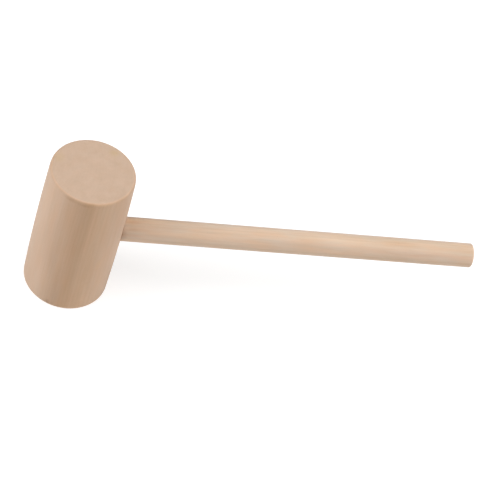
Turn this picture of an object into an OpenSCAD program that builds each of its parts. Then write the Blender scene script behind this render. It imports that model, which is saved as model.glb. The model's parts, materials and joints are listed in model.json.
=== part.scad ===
// Carving mallet: a turned wooden head on a straight dowel handle.
// Millimetres. The origin is the centre of the lower striking face, +Z runs up the head's axis
// to the upper striking face, and +X runs out along the handle.

/* [Head] */
// Diameter of the head at mid-length, where the handle enters
head_d = 63; // [56:0.5:72]
// Length of the head between its two striking faces
head_l = 118; // [96:1:140]
// Radius of the long arc that makes the flank bulge a little between the faces
flank_r = 2200; // [1200:100:2500]
// Radius of the eased rim around each striking face
head_rim_r = 2.2; // [0.6:0.1:3]

/* [Handle] */
// Diameter of the dowel
handle_d = 18; // [15:0.5:22]
// Full length of the dowel, with the part that is glued into the head
handle_l = 305; // [240:5:340]
// Radius of the eased rim at the free end
butt_rim_r = 1.1; // [0.5:0.1:2]

/* [Joint] */
// Depth of the blind bore, from the head's widest point to its flat floor
bore_depth = 42; // [32:1:46]
// Room left for glue around the tenon
glue_gap = 0.2; // [0.15:0.01:0.3]
// Room left for glue between the tenon's end and the bore's floor
glue_pool = 1; // [0.5:0.1:2]
// Depth below the bore's mouth where the glue stops, so that none squeezes out onto the head
dry_mouth_l = 2.5; // [2:0.1:6]
// Chamfer on the tenon's end, which lets it start into the bore
tenon_chamfer = 1.5; // [0.5:0.1:2.5]
// Diameter of the mark that the drill's centre point leaves in the bore's floor
spur_d = 3; // [2:0.5:5]

/* [Hidden] */

// Share of its radius that a rim arc is set in from the two surfaces it eases
RIM_INSET = 0.9;
// Depth of the drill's centre mark as a share of its diameter
SPUR_DEPTH_SHARE = 0.4;
// How far a cutting shape runs past the surface it cuts
OVERRUN = 5;

wood = [0.83, 0.69, 0.55];
dowel_wood = [0.87, 0.74, 0.60];
glue = [0.90, 0.86, 0.74];

head_r = head_d / 2;
handle_r = handle_d / 2;
tenon_r = handle_r - glue_gap;
tenon_l = bore_depth - glue_pool;
bore_floor_x = head_r - bore_depth;
flank_centre_x = head_r - flank_r;
face_r = flank_centre_x + sqrt(pow(flank_r, 2) - pow(head_l / 2, 2));
spur_depth = spur_d * SPUR_DEPTH_SHARE;

$fn = 180;

// Turns a shape that was drawn along +Z so that it runs along +X, on the handle's axis
module along_handle(x = 0) {
    translate([x, 0, head_l / 2])
        rotate([0, 90, 0])
            children();
}

// 2D cutter that eases the outer corner at [r, z] of a half profile; side is 1 at the top, -1 at the bottom
module rim_cutter(r, z, rim_r, side) {
    inset = rim_r * RIM_INSET;
    translate([r - inset, z - side * inset])
        difference() {
            translate([0, side > 0 ? 0 : -OVERRUN])
                square([OVERRUN, OVERRUN]);
            circle(r = rim_r);
        }
}

// The turned head before it is drilled
module head_blank() {
    rotate_extrude()
        difference() {
            intersection() {
                square([head_d, head_l]);
                translate([flank_centre_x, head_l / 2])
                    circle(r = flank_r, $fn = 1440);
            }
            rim_cutter(face_r, head_l, head_rim_r, 1);
            rim_cutter(face_r, 0, head_rim_r, -1);
        }
}

// What the drill takes out of the head: a flat-floored bore of length l and the mark of its centre point
module bore(l) {
    along_handle(bore_floor_x)
        cylinder(r = handle_r, h = l);
    along_handle(bore_floor_x - spur_depth)
        cylinder(r1 = 0, r2 = spur_d / 2, h = spur_depth);
}

module head() {
    color(wood)
        difference() {
            head_blank();
            bore(bore_depth + OVERRUN);
        }
}

// The dowel's free length, with its butt end eased
module shaft() {
    shaft_l = handle_l - tenon_l;
    along_handle(head_r)
        rotate_extrude()
            difference() {
                square([handle_r, shaft_l]);
                rim_cutter(handle_r, shaft_l, butt_rim_r, 1);
            }
}

// The end of the dowel that is turned down by the glue gap and goes into the head
module tenon() {
    along_handle(head_r - tenon_l)
        cylinder(r1 = tenon_r - tenon_chamfer, r2 = tenon_r, h = tenon_chamfer);
    along_handle(head_r - tenon_l + tenon_chamfer)
        cylinder(r = tenon_r, h = tenon_l - tenon_chamfer);
}

module handle() {
    color(dowel_wood)
        union() {
            shaft();
            tenon();
        }
}

// Cured glue: it fills what the tenon leaves of the bore, from the drill's centre mark to just short of the mouth
module glue_film() {
    color(glue)
        difference() {
            bore(bore_depth - dry_mouth_l);
            tenon();
        }
}

head();
handle();
glue_film();
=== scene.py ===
import json
import math

import bpy
import numpy as np
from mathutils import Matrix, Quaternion, Vector


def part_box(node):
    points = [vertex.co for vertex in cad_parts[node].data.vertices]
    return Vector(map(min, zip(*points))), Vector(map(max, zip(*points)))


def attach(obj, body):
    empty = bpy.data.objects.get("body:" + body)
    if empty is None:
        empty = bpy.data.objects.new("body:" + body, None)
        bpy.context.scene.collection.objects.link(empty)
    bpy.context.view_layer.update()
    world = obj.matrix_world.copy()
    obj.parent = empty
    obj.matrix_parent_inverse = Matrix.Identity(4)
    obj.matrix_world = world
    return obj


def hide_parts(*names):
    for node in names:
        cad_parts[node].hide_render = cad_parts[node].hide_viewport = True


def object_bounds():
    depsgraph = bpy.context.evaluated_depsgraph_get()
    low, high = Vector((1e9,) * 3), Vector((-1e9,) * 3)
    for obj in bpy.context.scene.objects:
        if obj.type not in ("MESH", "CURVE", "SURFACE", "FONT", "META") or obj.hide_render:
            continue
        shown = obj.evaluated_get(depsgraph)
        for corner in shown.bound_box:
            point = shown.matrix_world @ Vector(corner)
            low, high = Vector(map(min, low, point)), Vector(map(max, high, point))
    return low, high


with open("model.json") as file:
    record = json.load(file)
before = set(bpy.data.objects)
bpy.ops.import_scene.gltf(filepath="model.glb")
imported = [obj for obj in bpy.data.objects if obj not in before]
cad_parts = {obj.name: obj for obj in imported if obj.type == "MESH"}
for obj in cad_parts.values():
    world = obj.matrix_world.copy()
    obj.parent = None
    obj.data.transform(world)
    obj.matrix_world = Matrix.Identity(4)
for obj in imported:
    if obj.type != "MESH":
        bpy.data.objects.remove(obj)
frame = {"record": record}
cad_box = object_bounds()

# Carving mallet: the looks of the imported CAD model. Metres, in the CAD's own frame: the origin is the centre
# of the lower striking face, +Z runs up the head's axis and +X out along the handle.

MM = 0.001
TURN = 2 * math.pi

# ---------------------------------------------------------------- sizes
# What the frame gives.
mounts = {mount["name"]: mount for mount in frame["record"]["mounts"]}
head_low, head_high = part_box("head")
handle_low, handle_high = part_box("handle")
cad_low, cad_high = cad_box
centre = (cad_low + cad_high) / 2

HEAD_R = -head_low.x
HEAD_L = head_high.z - head_low.z
HEAD_MID = (head_high.z + head_low.z) / 2
SHAFT_R = mounts["handle_shaft"]["dims"]["r_mm"] * MM
BUTT_X = handle_high.x
TENON_X = handle_low.x
GLUE_END_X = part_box("glue_film")[1].x

# What its boxes and mounts don't tell, as the CAD model has it.
FLANK_ARC_R = 2200 * MM     # the long arc of the barrelled flank
RIM_R = 2.2 * MM            # eased rim of each striking face
BUTT_RIM_R = 1.1 * MM       # eased rim of the handle's free end
GLUE_GAP = 0.2 * MM         # round the tenon
GLUE_POOL = 1.0 * MM        # under the tenon
TENON_R = SHAFT_R - GLUE_GAP
TENON_CHAMFER = 1.5 * MM
TENON_TIP_R = TENON_R - TENON_CHAMFER
SPUR_R = 1.5 * MM           # the mark of the drill's centre point in the bore's floor
SPUR_DEPTH = 1.2 * MM
BORE_FLOOR_X = TENON_X - GLUE_POOL

# Fine detail that only this model has.
MENISCUS = 0.3 * MM         # how far the glue's free edge dips between the two walls
MOUTH_EASE = 0.2 * MM       # sanded edge round the bore's mouth
SHOULDER_GAP = 0.05 * MM    # between the handle's shoulder and the head's flank

# Knocks in the flank: angle in degrees, then height, width and depth in mm. The first nicks the lower rim.
HEAD_DENTS = [
    (-118.0, 3.2, 2.2, 0.45),
    (-148.0, 96.0, 2.2, 0.10),
    (-76.0, 31.0, 3.0, 0.12),
    (38.0, 84.0, 3.4, 0.14),
    (128.0, 22.0, 2.6, 0.12),
]

# ---------------------------------------------------------------- mesh density
HEAD_COLUMNS = 320          # quads round the head; a multiple of 8
HEAD_ROWS = 188             # quads up the flank between the rims; even
RIM_ROWS = 6
PATCH = 20                  # half the side, in quads, of the square patch that holds the bore's mouth
MOUTH_ROWS = 6              # rings of quads between the mouth and the patch's edge
MOUTH_CROWDING = 1.2        # over 1 crowds those rings towards the patch's edge
BORE_ROWS = 24
SHAFT_COLUMNS = 96          # quads round the handle; a multiple of 8
SHAFT_ROWS = 420
TENON_ROWS = 24

# ---------------------------------------------------------------- seeds of the surfaces' unevenness
HEAD_SEED = 11
HANDLE_SEED = 23


class Shell:
    """A mesh under construction: points are added in arrays, and quads join their index numbers."""

    def __init__(self):
        self.points = []
        self.quads = []
        self.count = 0

    def add(self, points):
        """Adds points of any array shape (..., 3) and returns their index numbers in that shape."""
        points = np.asarray(points, float)
        shape = points.shape[:-1]
        self.points.append(points.reshape(-1, 3))
        index = np.arange(self.count, self.count + self.points[-1].shape[0]).reshape(shape)
        self.count += self.points[-1].shape[0]
        return index

    def skin(self, index, keep=None):
        """Joins a grid of index numbers (rows, columns) with quads, where keep, if given, is true."""
        corners = (index[:-1, :-1], index[:-1, 1:], index[1:, 1:], index[1:, :-1])
        quads = np.stack(corners, axis=-1)
        self.quads.append(quads[keep] if keep is not None else quads.reshape(-1, 4))

    def skin_round(self, index, keep=None):
        """The same for a grid whose last column meets its first."""
        self.skin(np.concatenate([index, index[:, :1]], axis=1), keep)

    def cap(self, ring, place, flip=False):
        """Closes a round ring of 4 n index numbers with an n by n grid of quads. place(a, b) puts a point of
        the unit disc in space."""
        side = len(ring) // 4
        a, b = disc_grid(side)
        step = np.rint(np.arctan2(b, a) / TURN * len(ring)).astype(int) % len(ring)
        index = np.asarray(ring)[step]
        inside = (slice(1, -1), slice(1, -1))
        index[inside] = self.add(place(a[inside], b[inside]))
        self.skin(index.T if flip else index)

    def build(self, name):
        """Makes the Blender object, without the points that no quad uses."""
        quads = np.concatenate(self.quads)
        used, renumbered = np.unique(quads, return_inverse=True)
        points = np.concatenate(self.points)[used]
        mesh = bpy.data.meshes.new(name)
        mesh.from_pydata(points.tolist(), [], renumbered.reshape(quads.shape).tolist())
        mesh.polygons.foreach_set("use_smooth", np.ones(len(quads), bool))
        mesh.validate()
        mesh.update()
        piece = bpy.data.objects.new(name, mesh)
        bpy.context.scene.collection.objects.link(piece)
        return piece


def disc_grid(side):
    """A grid of side by side squares bent into the unit disc, with its rings kept round."""
    line = np.linspace(-1, 1, side + 1)
    a, b = np.meshgrid(line, line, indexing="ij")
    wide = np.abs(a) > np.abs(b)
    radius = np.where(wide, a, b)
    part = np.divide(np.where(wide, b, a), radius, out=np.zeros_like(a), where=radius != 0)
    angle = np.where(wide, part * TURN / 8, TURN / 4 - part * TURN / 8)
    return radius * np.cos(angle), radius * np.sin(angle)


def quarter_arc(middle_a, middle_b, radius, start, steps):
    """Both coordinates of points on a quarter circle, anticlockwise from the angle start."""
    angle = start + np.linspace(0, TURN / 4, steps + 1)
    return middle_a + radius * np.cos(angle), middle_b + radius * np.sin(angle)


def round_handle(angle, radius, x):
    """Rings of points round the handle's axis; radius and x hold one value or row of values for each ring."""
    radius, x = np.atleast_1d(radius), np.atleast_1d(x)
    radius = radius[:, None] if radius.ndim == 1 else radius
    x = x[:, None] if x.ndim == 1 else x
    radius, x, angle = np.broadcast_arrays(radius, x, angle[None])
    return np.stack([x, radius * np.cos(angle), HEAD_MID + radius * np.sin(angle)], axis=-1)


def across_handle(x, radius):
    """Where a cap across the handle's axis puts a point of the unit disc."""
    def place(a, b):
        return np.stack([np.full_like(a, x), a * radius, HEAD_MID + b * radius], axis=-1)

    return place


def across_head(z, radius):
    """Where a cap across the head's axis puts a point of the unit disc."""
    def place(a, b):
        return np.stack([a * radius, b * radius, np.full_like(a, z)], axis=-1)

    return place


# ---------------------------------------------------------------- the surfaces' small unevenness
def ripple(rng, angle, along, orders, height, drift):
    """Smooth seeded ridges of the given height, which run along a turned surface and drift a little round it.
    orders says how many ridges each wave has in a full turn."""
    total = np.zeros(np.broadcast(angle, along).shape)
    for order in orders:
        phase = rng.uniform(0, TURN)
        sway = rng.uniform(-drift, drift)
        weight = rng.uniform(0.5, 1.0)
        total += weight * np.sin(order * angle + phase + sway * along / MM)
    return total * height / math.sqrt(len(orders))


def head_relief(angle, z):
    """Unevenness of the sanded flank: faint ridges along the grain and fainter rings from the lathe."""
    rng = np.random.default_rng(HEAD_SEED)
    along_grain = ripple(rng, angle, z, orders=range(9, 46, 3), height=0.022 * MM, drift=0.012)
    out_of_round = ripple(rng, angle, z, orders=(2, 3, 5), height=0.05 * MM, drift=0.004)
    lathe_rings = ripple(rng, z / MM, 0 * angle, orders=(0.9, 1.3, 1.9), height=0.008 * MM, drift=0)
    return along_grain + out_of_round + lathe_rings


def shaft_relief(angle, x):
    """Unevenness of the dowel: faint ridges along the grain."""
    rng = np.random.default_rng(HANDLE_SEED)
    along_grain = ripple(rng, angle, x, orders=range(4, 19, 2), height=0.012 * MM, drift=0.01)
    out_of_round = ripple(rng, angle, x, orders=(2, 3), height=0.03 * MM, drift=0.006)
    return along_grain + out_of_round


def dent(points, angle, z, width, depth):
    """Presses the flank's points in towards the head's axis round the spot at angle and z."""
    outward = np.array([math.cos(angle), math.sin(angle), 0])
    spot = outward * flank_radius(z) + [0, 0, z]
    away = np.linalg.norm(points - spot, axis=-1) / width
    share = np.clip(1 - away ** 2, 0, 1) ** 2
    return points - outward * (share * depth)[..., None]


# ---------------------------------------------------------------- head
def flank_radius(z):
    """The head's radius at height z, on the long arc of its flank."""
    return HEAD_R - FLANK_ARC_R + np.sqrt(FLANK_ARC_R ** 2 - (z - HEAD_MID) ** 2)


def flank_x(y, z):
    """How far out the flank is, straight above a point (y, z) of the plane across the handle."""
    return np.sqrt(flank_radius(z) ** 2 - y ** 2)


def on_flank(yz):
    """Points of the uneven flank above the (y, z) points given."""
    y, z = yz[..., 0], yz[..., 1]
    x = flank_x(y, z)
    angle = np.arctan2(y, x)
    return np.stack([x + head_relief(angle, z) * np.cos(angle), y, z], axis=-1)


def head_profile():
    """Radius and height of each row, from the lower face's edge up the flank to the upper face's edge."""
    face_r = flank_radius(head_low.z)
    arc_r, arc_h = quarter_arc(face_r - RIM_R, RIM_R, RIM_R, -TURN / 4, RIM_ROWS)
    rise = np.linspace(RIM_R, HEAD_L - RIM_R, HEAD_ROWS + 1)[1:-1]
    radius = np.concatenate([arc_r, flank_radius(head_low.z + rise), arc_r[::-1]])
    height = np.concatenate([arc_h, rise, HEAD_L - arc_h[::-1]])
    return radius, head_low.z + height


def flank_points(radius, z):
    """The uneven, knocked flank: a grid of points with a row for each radius and height."""
    angle = np.arange(HEAD_COLUMNS) * TURN / HEAD_COLUMNS
    angle_grid, z_grid = np.meshgrid(angle, z)
    radius_grid = radius[:, None] + head_relief(angle_grid, z_grid)
    points = np.stack([radius_grid * np.cos(angle_grid), radius_grid * np.sin(angle_grid), z_grid], axis=-1)
    for at_angle, at_z, width, depth in HEAD_DENTS:
        points = dent(points, math.radians(at_angle), at_z * MM, width * MM, depth * MM)
    return points


def outside_patch(rows, middle):
    """True for the flank's quads that don't lie in the square patch round the bore's mouth."""
    row, column = np.meshgrid(np.arange(rows), np.arange(HEAD_COLUMNS), indexing="ij")
    in_rows = (row >= middle - PATCH) & (row < middle + PATCH)
    in_columns = (column < PATCH) | (column >= HEAD_COLUMNS - PATCH)
    return ~(in_rows & in_columns)


def square_edge(angle):
    """Column and row offsets of the patch's edge points, one for each of the mouth's angles."""
    octant = np.mod(angle / (TURN / 4) + 0.5, 4)
    side = np.floor(octant).astype(int)
    slide = np.rint((octant - side) * 2 * PATCH - PATCH).astype(int)
    edge = np.full_like(slide, PATCH)
    across = np.choose(side, [edge, -slide, -edge, slide])
    up = np.choose(side, [slide, edge, -slide, -edge])
    return across, up


def add_mouth(shell, flank, middle, angle):
    """Fills the patch with rings of quads, from its square edge to the bore's round mouth, and returns the
    mouth's ring."""
    across, up = square_edge(angle)
    square = flank[middle + up, across % HEAD_COLUMNS]
    square_yz = np.concatenate(shell.points)[square][:, 1:]
    circle_yz = np.stack([np.cos(angle), np.sin(angle)], axis=-1)
    circle_yz = circle_yz * (SHAFT_R + MOUTH_EASE) + [0, HEAD_MID]
    share = np.linspace(0, 1, MOUTH_ROWS + 1)[:-1, None, None] ** MOUTH_CROWDING
    rings = shell.add(on_flank(circle_yz + (square_yz - circle_yz) * share))
    shell.skin_round(np.concatenate([rings, square[None]])[::-1])
    return rings[:1]


def add_bore(shell, mouth, angle):
    """The bore's eased edge, its wall and its floor."""
    wall_yz = np.stack([np.cos(angle), np.sin(angle)], axis=-1) * SHAFT_R + [0, HEAD_MID]
    edge_x = flank_x(wall_yz[:, 0], wall_yz[:, 1]) - MOUTH_EASE
    depth = np.linspace(0, 1, BORE_ROWS + 1)[:, None]
    wall_x = edge_x + (BORE_FLOOR_X - edge_x) * depth
    wall_yz = np.broadcast_to(wall_yz, (BORE_ROWS + 1,) + wall_yz.shape)
    wall = shell.add(np.concatenate([wall_x[..., None], wall_yz], axis=-1))
    shell.skin_round(np.concatenate([mouth, wall]))
    shell.cap(wall[-1], bore_floor, flip=True)


def bore_floor(a, b):
    """Puts a point of the unit disc on the bore's floor, with the cone that the drill's point leaves."""
    sink = np.clip(1 - np.hypot(a, b) * SHAFT_R / SPUR_R, 0, 1) * SPUR_DEPTH
    return np.stack([BORE_FLOOR_X - sink, a * SHAFT_R, HEAD_MID + b * SHAFT_R], axis=-1)


def make_head():
    """The turned head, with its blind bore."""
    shell = Shell()
    radius, z = head_profile()
    flank = shell.add(flank_points(radius, z))
    middle = len(z) // 2
    shell.skin_round(flank, outside_patch(len(z) - 1, middle))
    mouth_angle = np.arange(8 * PATCH) * TURN / (8 * PATCH)
    mouth = add_mouth(shell, flank, middle, mouth_angle)
    add_bore(shell, mouth, mouth_angle)
    shell.cap(flank[0], across_head(z[0], radius[0]))
    shell.cap(flank[-1], across_head(z[-1], radius[-1]), flip=True)
    return shell.build("mallet_head")


# ---------------------------------------------------------------- handle
def make_handle():
    """The dowel, from the chamfered tip of its tenon to the eased rim of its butt."""
    shell = Shell()
    angle = np.arange(SHAFT_COLUMNS) * TURN / SHAFT_COLUMNS
    shoulder_x = flank_x(np.cos(angle) * SHAFT_R, HEAD_MID + np.sin(angle) * SHAFT_R) + SHOULDER_GAP

    tip = round_handle(angle, TENON_TIP_R, TENON_X)
    share = np.linspace(0, 1, TENON_ROWS + 1)[:, None]
    start_x = TENON_X + TENON_CHAMFER
    tenon = round_handle(angle, TENON_R, start_x + (shoulder_x - start_x) * share)

    share = np.linspace(0, 1, SHAFT_ROWS + 1)[:, None]
    end_x = BUTT_X - BUTT_RIM_R
    shaft_x = shoulder_x + (end_x - shoulder_x) * share
    shaft = round_handle(angle, SHAFT_R + shaft_relief(angle[None], shaft_x), shaft_x)

    arc_x, arc_r = quarter_arc(end_x, SHAFT_R - BUTT_RIM_R, BUTT_RIM_R, 0, RIM_ROWS)
    arc_x, arc_r = arc_x[::-1][1:, None], arc_r[::-1][1:, None]
    rim = round_handle(angle, arc_r + shaft_relief(angle[None], arc_x), arc_x)

    rings = shell.add(np.concatenate([tip, tenon, shaft, rim]))
    shell.skin_round(rings)
    shell.cap(rings[0], across_handle(TENON_X, TENON_TIP_R))
    shell.cap(rings[-1], across_handle(BUTT_X, SHAFT_R - BUTT_RIM_R), flip=True)
    return shell.build("mallet_handle")


# ---------------------------------------------------------------- glue
def make_glue():
    """The cured glue: a thin sleeve round the tenon and a pool under it, open at the tenon's side."""
    shell = Shell()
    angle = np.arange(SHAFT_COLUMNS) * TURN / SHAFT_COLUMNS
    share = np.linspace(0, 1, TENON_ROWS + 1)
    outer = round_handle(angle, SHAFT_R, BORE_FLOOR_X + (GLUE_END_X - BORE_FLOOR_X) * share)
    dip = round_handle(angle, (SHAFT_R + TENON_R) / 2, GLUE_END_X - MENISCUS)
    chamfer_x = TENON_X + TENON_CHAMFER
    inner = round_handle(angle, TENON_R, GLUE_END_X + (chamfer_x - GLUE_END_X) * share)
    tip = round_handle(angle, TENON_TIP_R, TENON_X)
    rings = shell.add(np.concatenate([outer, dip, inner, tip]))
    shell.skin_round(rings)
    shell.cap(rings[0], bore_floor)
    shell.cap(rings[-1], across_handle(TENON_X, TENON_TIP_R), flip=True)
    return shell.build("glue_sleeve")


# ---------------------------------------------------------------- materials
class Graph:
    """A material's nodes, built by calls that read like formulas."""

    def __init__(self, name):
        self.material = bpy.data.materials.new(name)
        self.material.use_nodes = True
        self.tree = self.material.node_tree
        self.shader = self.tree.nodes["Principled BSDF"]

    def node(self, kind, inputs=None, **settings):
        """A new shader node, with its settings made and its inputs fed by number or by name."""
        made = self.tree.nodes.new("ShaderNode" + kind)
        for key, value in settings.items():
            setattr(made, key, value)
        for key, value in (inputs or {}).items():
            self.feed(made.inputs[key], value)
        return made

    def feed(self, socket, value):
        """Links a socket to value, or sets it where value is a plain number, vector or colour."""
        if isinstance(value, bpy.types.NodeSocket):
            self.tree.links.new(value, socket)
        else:
            socket.default_value = value

    def set_shader(self, **values):
        """Feeds inputs of the shader, named with _ for a space: Base_Color, Roughness and so on."""
        for key, value in values.items():
            self.feed(self.shader.inputs[key.replace("_", " ")], value)

    def bump(self, height, strength, depth):
        """Feeds the shader's normal with a relief; depth is how deep one unit of height is."""
        made = self.node("Bump", {"Strength": strength, "Distance": depth, "Height": height})
        self.set_shader(Normal=made.outputs[0])

    def math(self, operation, *values):
        return self.node("Math", dict(enumerate(values)), operation=operation).outputs[0]

    def add(self, *values):
        total = values[0]
        for value in values[1:]:
            total = self.math("ADD", total, value)
        return total

    def times(self, a, b):
        return self.math("MULTIPLY", a, b)

    def less(self, a, b):
        return self.math("SUBTRACT", a, b)

    def vector(self, operation, *values):
        made = self.node("VectorMath", dict(enumerate(values)), operation=operation)
        return made.outputs["Value" if operation == "LENGTH" else "Vector"]

    def scaled(self, vector, factor):
        return self.vector("MULTIPLY", vector, (factor,) * 3)

    def combine(self, x, y, z):
        return self.node("CombineXYZ", {0: x, 1: y, 2: z}).outputs[0]

    def split(self, vector):
        return self.node("SeparateXYZ", {0: vector}).outputs[:3]

    def object_place(self):
        """Where the shaded point is in its object's frame, in metres."""
        return self.node("TexCoord").outputs["Object"]

    def noise(self, vector, detail=2.0, roughness=0.5):
        """Smooth noise of one cell a unit, about 0 and mostly within half a unit."""
        inputs = {"Vector": vector, "Scale": 1.0, "Detail": detail, "Roughness": roughness}
        return self.less(self.node("TexNoise", inputs).outputs[0], 0.5)

    def noise_vector(self, vector):
        """The same with three separate values, and with less detail."""
        made = self.node("TexNoise", {"Vector": vector, "Scale": 1.0, "Detail": 1.0})
        return self.vector("SUBTRACT", made.outputs["Color"], (0.5, 0.5, 0.5))

    def step(self, value, low, high):
        """0 under low, 1 over high and smooth between them."""
        inputs = {"Value": value, "From Min": low, "From Max": high}
        return self.node("MapRange", inputs, interpolation_type="SMOOTHSTEP").outputs[0]

    def fade(self, value, low, high):
        """1 under low, 0 over high and smooth between them."""
        return self.less(1.0, self.step(value, low, high))

    def ramp(self, value, stops):
        """The colour that blends in a straight line from one stop (value, colour) to the next."""
        low, high = stops[0][0], stops[-1][0]
        share = self.node("MapRange", {"Value": value, "From Min": low, "From Max": high}).outputs[0]
        made = self.node("ValToRGB", {0: share})
        elements = made.color_ramp.elements
        elements[0].color = stops[0][1]
        elements[1].color = stops[-1][1]
        for place, colour in stops[1:-1]:
            elements.new((place - low) / (high - low)).color = colour
        return made.outputs[0]

    def mix(self, share, a, b):
        """Colour a turning into colour b."""
        return self.node("Mix", {0: share, 6: a, 7: b}, data_type="RGBA").outputs[2]


def rgb(red, green, blue):
    """A display colour, 0 to 255 a channel, as the linear colour that shaders use."""
    linear = []
    for channel in (red, green, blue):
        c = channel / 255
        linear.append(c / 12.92 if c <= 0.04045 else ((c + 0.055) / 1.055) ** 2.4)
    return (*linear, 1.0)


# Darker figure loses more blue than red, which keeps it warm.
FIGURE_HUE = (0.8, 1.0, 1.4)
# Warm patches lose blue and a little green, and show a trace more red.
WARMTH_HUE = (-0.2, 0.4, 1.0)
# Painted highlight: the eased rims are painted a little paler and warmer, in place of the light that catches
# them.
PAINTED_RIM_HIGHLIGHT = (-0.08, -0.03, 0.02)

# How squarely the surface cuts the grain, from 0 to 1, where a flank turns into its rim, which carries the
# painted highlight, and its end face.
RIM_HIGHLIGHT_START = (0.4, 0.85)
RIM_HIGHLIGHT_END = (0.93, 1.0)
END_GRAIN_START = (0.55, 0.95)
FIGURE_ON_END_GRAIN = 0.5   # share of the figure's strength that is left there

# Sizes of detail that all the wood shares, in mm: how wide across the grain and how long along it.
FIBRE_SIZE = (0.45, 22.0)
PORE_SIZE = (0.28, 3.4)
SPECK_SIZE = (0.22, 0.8)
SANDING_SIZE = (10.0, 0.3)
MOTTLE_SIZE = 7.0           # the same every way
WANDER_WIDTH = 55.0

# How much darker pores, specks and mottling are, as a share, and the noise values where the first two show.
PORE_LOSS = 0.09
SPECK_LOSS = 0.08
MOTTLE_LOSS = 0.18
PORE_START = (0.16, 0.27)
SPECK_START = (0.18, 0.3)

RING_PACE = 0.11            # noise cells in a millimetre, for how the rings' widths vary
TONE_PACE = 0.43            # noise cells in a ring, for how the rings' tones vary
LATE_START = (0.35, 0.93)   # where in a ring, from 0 to 1, its wood darkens
LATE_END = (0.93, 1.0)      # and where it turns pale again

ROUGHNESS = 0.62
RELIEF_DEPTH = 0.06 * MM    # how deep one unit of the relief below is


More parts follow.
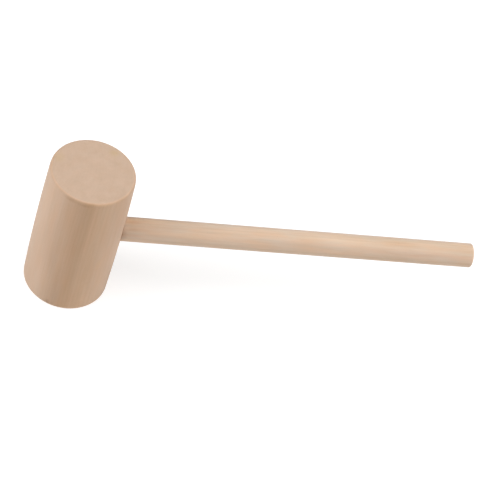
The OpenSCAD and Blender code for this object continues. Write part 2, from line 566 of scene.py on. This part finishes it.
class Wood(Graph):
    """Bare, sanded, fine-grained hardwood, solid all through, with rings round the pith and figure along the
    grain. look holds the piece's own numbers."""

    def __init__(self, name, look):
        super().__init__(name)
        self.look = look
        self.place = self.scaled(self.object_place(), 1 / MM)
        self.find_grain()
        self.grow_rings()
        self.add_fine_detail()
        self.set_shader(Base_Color=self.colour())
        self.finish_surface()

    def find_grain(self):
        """u and v are the place across the grain and w along it, in mm. facing is 1 where the surface cuts
        the grain squarely and 0 where it follows the grain."""
        x, y, z = self.split(self.place)
        normal_x, _, normal_z = self.split(self.node("NewGeometry").outputs["Normal"])
        if self.look["along"] == "Z":
            self.u, self.v, self.w = x, y, z
            self.facing = self.math("ABSOLUTE", normal_z)
        else:
            self.u, self.v, self.w = y, self.less(z, HEAD_MID / MM), x
            self.facing = self.math("ABSOLUTE", normal_x)
        self.end_grain = self.step(self.facing, *END_GRAIN_START)

    def cells(self, width, length):
        """The place, counted in cells of a width across the grain and a length along it, in mm."""
        u = self.times(self.u, 1 / width)
        v = self.times(self.v, 1 / width)
        return self.combine(u, v, self.times(self.w, 1 / length))

    def grain_noise(self, size, detail=2.0, roughness=0.5):
        """Noise that is drawn out along the grain."""
        return self.noise(self.cells(*size), detail, roughness)

    def grow_rings(self):
        """Growth rings: early wood darkens to a thin late line, and no two rings are the same width or tone.
        The grain wanders a little as it runs, which bends the rings where they meet the surface."""
        wander = self.noise_vector(self.cells(WANDER_WIDTH, self.look["wander_length"]))
        bend = self.scaled(wander, self.look["wander"])
        across = self.vector("ADD", self.combine(self.u, self.v, 0.0), bend)
        across = self.vector("SUBTRACT", across, (*self.look["pith"], 0.0))
        self.from_pith = self.vector("LENGTH", self.vector("MULTIPLY", across, (1.0, 1.0, 0.0)))
        evenly = self.times(self.from_pith, 1 / self.look["ring_width"])
        ring = self.add(evenly, self.noise(self.times(self.from_pith, RING_PACE)))
        part = self.math("FRACT", ring)
        self.late = self.times(self.step(part, *LATE_START), self.fade(part, *LATE_END))
        self.ring_tone = self.noise(self.times(ring, TONE_PACE), detail=1.0)

    def add_fine_detail(self):
        """Fibres and pores, and the specks and the mottling that only end grain shows."""
        self.fibre = self.grain_noise(FIBRE_SIZE, detail=3.0, roughness=0.6)
        self.pore = self.step(self.grain_noise(PORE_SIZE, detail=1.0), *PORE_START)
        speck = self.step(self.grain_noise(SPECK_SIZE, detail=0.0), *SPECK_START)
        self.speck = self.times(speck, self.end_grain)
        mottle = self.noise(self.scaled(self.place, 1 / MOTTLE_SIZE), detail=3.0, roughness=0.65)
        self.mottle = self.times(mottle, self.end_grain)

    def figure(self):
        """How much darker than the rings' colour the grain's figure makes each point, as a share."""
        look = self.look
        figure = self.add(
            self.times(self.late, look["ring"]),
            self.times(self.ring_tone, look["ring_tone"]),
            self.times(self.grain_noise(look["patch_size"]), look["patch"]),
            self.times(self.grain_noise(look["streak_size"]), look["streak"]),
            self.times(self.fibre, look["fibre"]),
        )
        detail = self.add(
            self.times(self.pore, PORE_LOSS),
            self.times(self.speck, SPECK_LOSS),
            self.times(self.mottle, MOTTLE_LOSS),
        )
        return self.add(self.fainter_on_end_grain(figure), detail)

    def fainter_on_end_grain(self, amount):
        lost = self.times(self.end_grain, 1.0 - FIGURE_ON_END_GRAIN)
        return self.times(amount, self.less(1.0, lost))

    def losses(self):
        """What each cause takes off the colour, as shares of its red, green and blue; among them are the rims'
        painted highlight and the painted shade of some marks.
        """
        yield self.vector("MULTIPLY", self.figure(), FIGURE_HUE)
        warmth = self.times(self.grain_noise(self.look["warmth_size"]), self.look["warmth"])
        yield self.vector("MULTIPLY", self.fainter_on_end_grain(warmth), WARMTH_HUE)
        # Painted highlight on the eased rims: paler, warmer colour where the light catches their rounding.
        rim = self.times(self.step(self.facing, *RIM_HIGHLIGHT_START), self.fade(self.facing, *RIM_HIGHLIGHT_END))
        yield self.vector("MULTIPLY", rim, PAINTED_RIM_HIGHLIGHT)
        for spot, reach, darker in self.look["marks"]:
            away = self.vector("DIVIDE", self.vector("SUBTRACT", self.place, spot), reach)
            yield self.vector("MULTIPLY", self.fade(self.vector("LENGTH", away), 0.0, 1.0), darker)

    def colour(self):
        """The rings' colour, or the end grain's, less all that darkens it, painted shade included, and paler
        on the rims with a painted highlight.
        """
        kept = (1.0, 1.0, 1.0)
        for loss in self.losses():
            kept = self.vector("SUBTRACT", kept, loss)
        base = self.mix(self.end_grain, self.ramp(self.from_pith, self.look["rings"]), self.look["end"])
        return self.vector("MULTIPLY", base, kept)

    def finish_surface(self):
        """Fibres and pores stand in the surface, and the last sanding left fine lines across the grain."""
        height = self.add(
            self.times(self.fibre, 0.6),
            self.times(self.pore, -0.5),
            self.times(self.late, 0.25),
            self.times(self.speck, -0.4),
            self.times(self.grain_noise(SANDING_SIZE, detail=1.0), 0.2),
        )
        self.bump(height, strength=0.25, depth=RELIEF_DEPTH)
        roughness = self.add(
            ROUGHNESS,
            self.times(self.fibre, 0.16),
            self.times(self.end_grain, 0.1),
            self.times(self.late, -0.04),
        )
        self.set_shader(Roughness=roughness, Specular_IOR_Level=0.4, Sheen_Weight=0.08, Sheen_Roughness=0.5)


# What a look holds, with every length in mm:
# along and pith: the grain's axis, and the centre of the rings across it.
# wander and wander_length: how far the grain strays to the side, and over what length.
# ring_width and rings: the mean width of a ring, and the wood's colour by distance from the pith.
# patch_size and the like: how wide and how long that part of the figure is.
# patch, streak and the like: how much darker that part can be, as a share.
# marks: soft spots of wood tone or of painted shade, each with its centre, its reach along x, y and z, and how
# much darker it is in red, green and blue; under 0 it is paler.
# end: the colour of end grain.
HEAD_LOOK = {
    "along": "Z",
    "pith": (-59.0, 12.0),
    "wander": 1.6,
    "wander_length": 150.0,
    "ring_width": 2.1,
    "ring": 0.025,
    "ring_tone": 0.05,
    "patch": 0.13,
    "patch_size": (8.0, 50.0),
    "streak": 0.07,
    "streak_size": (2.4, 70.0),
    "warmth": 0.18,
    "warmth_size": (6.0, 24.0),
    "fibre": 0.09,
    "rings": [
        (34.0, rgb(207, 176, 150)),
        (50.0, rgb(203, 170, 143)),
        (55.0, rgb(199, 166, 138)),
        (68.0, rgb(201, 163, 129)),
        (71.5, rgb(204, 166, 131)),
        (74.0, rgb(213, 175, 141)),
        (78.0, rgb(212, 175, 141)),
        (90.0, rgb(198, 165, 138)),
    ],
    "marks": [
        ((-12.5, -29.0, 16.0), (7.0, 7.0, 40.0), (0.06, 0.05, 0.03)),       # grey figure, low on the front
        ((-18.5, -25.5, 52.0), (5.5, 5.5, 26.0), (0.03, 0.03, 0.02)),       # its upper end, further left
        ((-23.0, -21.5, 12.0), (12.0, 12.0, 42.0), (-0.05, -0.08, -0.11)),  # paler wood beside it
        ((21.0, -23.5, 12.0), (12.0, 12.0, 40.0), (-0.07, -0.08, -0.08)),   # paler wood, low on the right
        ((22.0, -22.0, 100.0), (13.0, 13.0, 50.0), (0.04, 0.04, 0.04)),     # darker wood above it
        ((14.5, -28.0, 50.0), (3.5, 3.5, 9.0), (-0.02, 0.01, 0.07)),        # warm spot
        ((16.0, 19.0, 118.0), (6.5, 5.5, 3.0), (0.03, 0.03, 0.14)),         # warm smudge on the upper face
        ((-24.0, 11.0, 118.0), (6.5, 7.5, 3.0), (0.01, 0.01, 0.10)),        # another, by its edge
        ((-17.0, -26.0, 115.5), (9.0, 8.0, 2.2), (0.08, 0.12, 0.16)),       # painted shade under the upper rim's rounding
        ((-8.0, -30.5, 115.0), (8.0, 3.5, 2.0), (0.08, 0.12, 0.17)),        # the rest of that painted shade
        ((-15.0, -28.0, 3.2), (2.6, 2.6, 4.0), (0.37, 0.43, 0.47)),         # painted shade in the lower rim's nick
    ],
    "end": rgb(211, 182, 158),
}

HANDLE_LOOK = {
    "along": "X",
    "pith": (31.0, -18.0),
    "wander": 2.5,
    "wander_length": 90.0,
    "ring_width": 1.7,
    "ring": 0.04,
    "ring_tone": 0.10,
    "patch": 0.19,
    "patch_size": (6.0, 60.0),
    "streak": 0.20,
    "streak_size": (2.2, 34.0),
    "warmth": 0.38,
    "warmth_size": (4.0, 20.0),
    "fibre": 0.17,
    "rings": [
        (26.0, rgb(230, 203, 180)),
        (36.0, rgb(228, 201, 178)),
        (40.5, rgb(235, 207, 182)),
        (43.5, rgb(229, 199, 172)),
        (44.8, rgb(229, 198, 171)),
    ],
    "marks": [
        ((31.5, -8.5, 61.5), (4.4, 5.5, 8.0), (0.17, 0.20, 0.22)),          # painted contact shadow where the handle meets the head
        ((37.0, -1.0, 68.0), (9.0, 3.6, 3.6), (0.03, 0.08, 0.13)),          # brown streaks at the root
        ((38.0, -6.0, 66.0), (6.0, 2.2, 2.2), (0.05, 0.08, 0.12)),          # the lower of them
        ((39.0, -8.5, 62.0), (9.0, 3.0, 3.0), (0.05, 0.04, 0.02)),          # grey streak under them
        ((48.0, 1.5, 68.0), (50.0, 7.0, 6.0), (-0.11, -0.09, -0.07)),       # pale wood along the top
        ((73.0, -7.0, 65.0), (42.0, 3.4, 3.4), (-0.07, -0.08, -0.08)),      # pale streak
        ((156.0, -6.5, 65.5), (50.0, 4.2, 4.2), (0.07, 0.08, 0.09)),        # darker figure half way along
        ((190.0, -2.5, 67.5), (56.0, 4.2, 4.2), (-0.06, -0.08, -0.09)),     # pale streak above it
        ((235.0, 0.5, 68.0), (60.0, 5.0, 4.0), (0.07, 0.07, 0.09)),         # darker top, towards the end
        ((262.0, -7.5, 64.0), (90.0, 4.2, 4.2), (0.05, 0.06, 0.05)),        # darker front, towards the end
    ],
    "end": rgb(214, 186, 162),
}


def glue():
    """Cured wood glue: amber and a little cloudy."""
    g = Graph("cured_glue")
    place = g.scaled(g.object_place(), 1 / MM)
    cloud = g.noise(g.vector("MULTIPLY", place, (0.3, 0.8, 0.8)))
    amber = g.mix(g.step(cloud, -0.3, 0.3), rgb(214, 190, 142), rgb(186, 152, 98))
    g.set_shader(Base_Color=amber, Roughness=g.add(0.35, g.times(cloud, 0.2)))
    g.bump(cloud, strength=0.3, depth=0.1 * MM)
    return g.material


# ---------------------------------------------------------------- stage, light and camera
FLOOR_HALF = 4.0            # half the side of the floor
FLOOR_GAP = 0.05 * MM       # keeps the floor from lying in the lower face's own plane
FLOOR_WHITE = 0.5           # the floor is lit from within as well, which keeps its shadows pale
FLOOR_GLOW = 0.51
FLOOR_LIFT = 0.17           # what the camera sees on top of that glow
FLOOR_FADE = (0.5, 2.0)     # from how far out to how far out the floor turns as white as the backdrop

LIGHT_DISTANCE = 1.8
LIGHT_SIZE = 1.3
LIGHTS = [                  # name, azimuth and elevation in degrees, power in watts
    ("high_left", -60, 60, 11.5),
    ("high_right", 60, 60, 5.9),
    ("left", -90, 32, 15.3),
    ("right", 90, 32, 22.5),
]

CAMERA_LENS = 183.7
CAMERA_AZIMUTH = -20.14
CAMERA_ELEVATION = 47.97
CAMERA_ROLL = 19.58
CAMERA_DISTANCE = 1.8592
CAMERA_AIM = Vector((-4.6, -5.7, -6.2)) * MM    # from the object's centre


def make_floor():
    """A plain pale floor. To the camera it shows whiter than it lights the mallet, and more so away from the
    lamps."""
    corners = [(-FLOOR_HALF, -FLOOR_HALF, 0), (FLOOR_HALF, -FLOOR_HALF, 0)]
    corners += [(FLOOR_HALF, FLOOR_HALF, 0), (-FLOOR_HALF, FLOOR_HALF, 0)]
    mesh = bpy.data.meshes.new("floor")
    mesh.from_pydata(corners, [], [(0, 1, 2, 3)])
    floor = bpy.data.objects.new("floor", mesh)
    floor.location.z = head_low.z - FLOOR_GAP
    bpy.context.scene.collection.objects.link(floor)

    g = Graph("floor_white")
    distance = g.vector("LENGTH", g.object_place())
    lift = g.add(FLOOR_LIFT, g.times(g.step(distance, *FLOOR_FADE), 1.0 - FLOOR_GLOW))
    seen = g.node("LightPath").outputs["Is Camera Ray"]
    glow = g.add(FLOOR_GLOW, g.times(seen, lift))
    g.set_shader(Base_Color=(FLOOR_WHITE, FLOOR_WHITE, FLOOR_WHITE, 1.0), Roughness=0.9)
    g.set_shader(Emission_Color=(1.0, 1.0, 1.0, 1.0), Emission_Strength=glow)
    mesh.materials.append(g.material)


def make_backdrop():
    """White all round, for the camera only: it gives no light."""
    world = bpy.data.worlds.new("backdrop")
    world.use_nodes = True
    tree = world.node_tree
    background = tree.nodes["Background"]
    background.inputs["Color"].default_value = (1, 1, 1, 1)
    path = tree.nodes.new("ShaderNodeLightPath")
    tree.links.new(path.outputs["Is Camera Ray"], background.inputs["Strength"])
    bpy.context.scene.world = world


def direction(azimuth, elevation):
    """Unit vector from the object towards a viewer; azimuth 0 looks along +Y, in degrees."""
    a, e = math.radians(azimuth), math.radians(elevation)
    return Vector((math.sin(a) * math.cos(e), -math.cos(a) * math.cos(e), math.sin(e)))


def soft_light(name, azimuth, elevation, power):
    """A large round area light that faces the object from a direction given as for the camera."""
    light = bpy.data.lights.new(name, "AREA")
    light.shape = "DISK"
    light.size = LIGHT_SIZE
    light.energy = power
    lamp = bpy.data.objects.new(name, light)
    outward = direction(azimuth, elevation)
    lamp.location = centre + outward * LIGHT_DISTANCE
    lamp.rotation_euler = outward.to_track_quat("Z", "Y").to_euler()
    lamp.visible_camera = False
    bpy.context.scene.collection.objects.link(lamp)


def make_camera():
    """The camera looks down on the mallet and is rolled, so that the handle lies nearly level."""
    camera = bpy.data.objects.new("camera", bpy.data.cameras.new("camera"))
    camera.data.lens = CAMERA_LENS
    outward = direction(CAMERA_AZIMUTH, CAMERA_ELEVATION)
    camera.location = centre + CAMERA_AIM + outward * CAMERA_DISTANCE
    camera.rotation_mode = "QUATERNION"
    roll = Quaternion(outward, math.radians(CAMERA_ROLL))
    camera.rotation_quaternion = roll @ outward.to_track_quat("Z", "Y")
    bpy.context.scene.collection.objects.link(camera)
    bpy.context.scene.camera = camera


# ---------------------------------------------------------------- the scene
def dress(piece, node, material):
    """Gives a new piece its material and makes it stand for a CAD node."""
    piece.data.materials.append(material)
    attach(piece, "root")
    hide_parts(node)


dress(make_head(), "head", Wood("sanded_head_wood", HEAD_LOOK).material)
dress(make_handle(), "handle", Wood("sanded_handle_wood", HANDLE_LOOK).material)
dress(make_glue(), "glue_film", glue())

make_floor()
make_backdrop()
for settings in LIGHTS:
    soft_light(*settings)
make_camera()
bpy.context.scene.view_settings.view_transform = "Standard"
